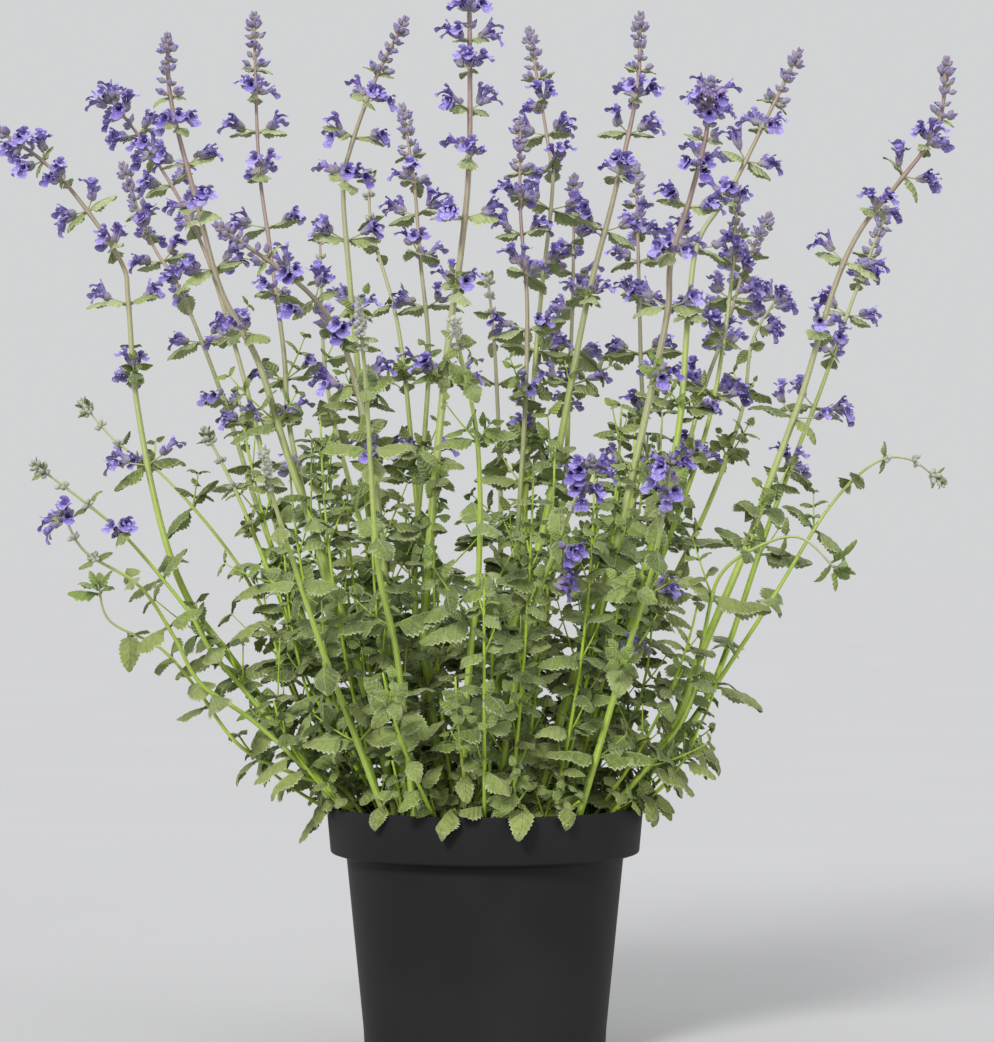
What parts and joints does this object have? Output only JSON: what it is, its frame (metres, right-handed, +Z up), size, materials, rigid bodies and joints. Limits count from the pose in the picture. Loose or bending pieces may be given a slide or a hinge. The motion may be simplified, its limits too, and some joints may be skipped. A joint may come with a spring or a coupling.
{
  "type": "potted catmint",
  "caption": "Bushy catmint with arching square stems, toothed grey-green leaf pairs and violet-blue flower spikes, rooted in soil in a black tapered nursery pot.",
  "frame": {"origin": "centre of the pot's flat base, on the surface that it stands on", "axes": "+Z up, along the pot's axis; the side that the picture shows faces -Y, and +X is to its right"},
  "size_m": [0.567, 0.4711, 0.6394],
  "materials": {
    "black_plastic": "satin",
    "potting_soil": "matte",
    "leaf_green": "matte",
    "flower_violet": "matte"
  },
  "bodies": {
    "root": {"pot": "black_plastic", "soil": "potting_soil", "stem_01": "leaf_green", "stem_02": "leaf_green", "stem_03": "leaf_green", "stem_04": "leaf_green", "stem_05": "leaf_green", "stem_06": "leaf_green", "stem_07": "leaf_green", "stem_08": "leaf_green", "stem_09": "leaf_green", "stem_10": "leaf_green", "stem_11": "leaf_green", "stem_12": "leaf_green", "stem_13": "leaf_green", "stem_14": "leaf_green", "stem_15": "leaf_green", "stem_16": "leaf_green", "stem_17": "leaf_green", "stem_18": "leaf_green", "stem_19": "leaf_green", "stem_20": "leaf_green", "stem_21": "leaf_green", "stem_22": "leaf_green", "stem_23": "leaf_green", "stem_24": "leaf_green", "stem_25": "leaf_green", "stem_26": "leaf_green", "stem_27": "leaf_green", "stem_28": "leaf_green", "stem_29": "leaf_green", "stem_30": "leaf_green", "stem_31": "leaf_green", "stem_32": "leaf_green", "stem_33": "leaf_green", "stem_34": "leaf_green", "stem_35": "leaf_green", "stem_36": "leaf_green", "spike_01": "flower_violet", "spike_02": "flower_violet", "spike_03": "flower_violet", "spike_04": "flower_violet", "spike_05": "flower_violet", "spike_06": "flower_violet", "spike_07": "flower_violet", "spike_08": "flower_violet", "spike_09": "flower_violet", "spike_10": "flower_violet", "spike_11": "flower_violet", "spike_12": "flower_violet", "spike_13": "flower_violet", "spike_14": "flower_violet", "spike_15": "flower_violet", "spike_16": "flower_violet", "spike_17": "flower_violet", "spike_18": "flower_violet", "spike_19": "flower_violet", "spike_20": "flower_violet"}
  },
  "joints": []
}
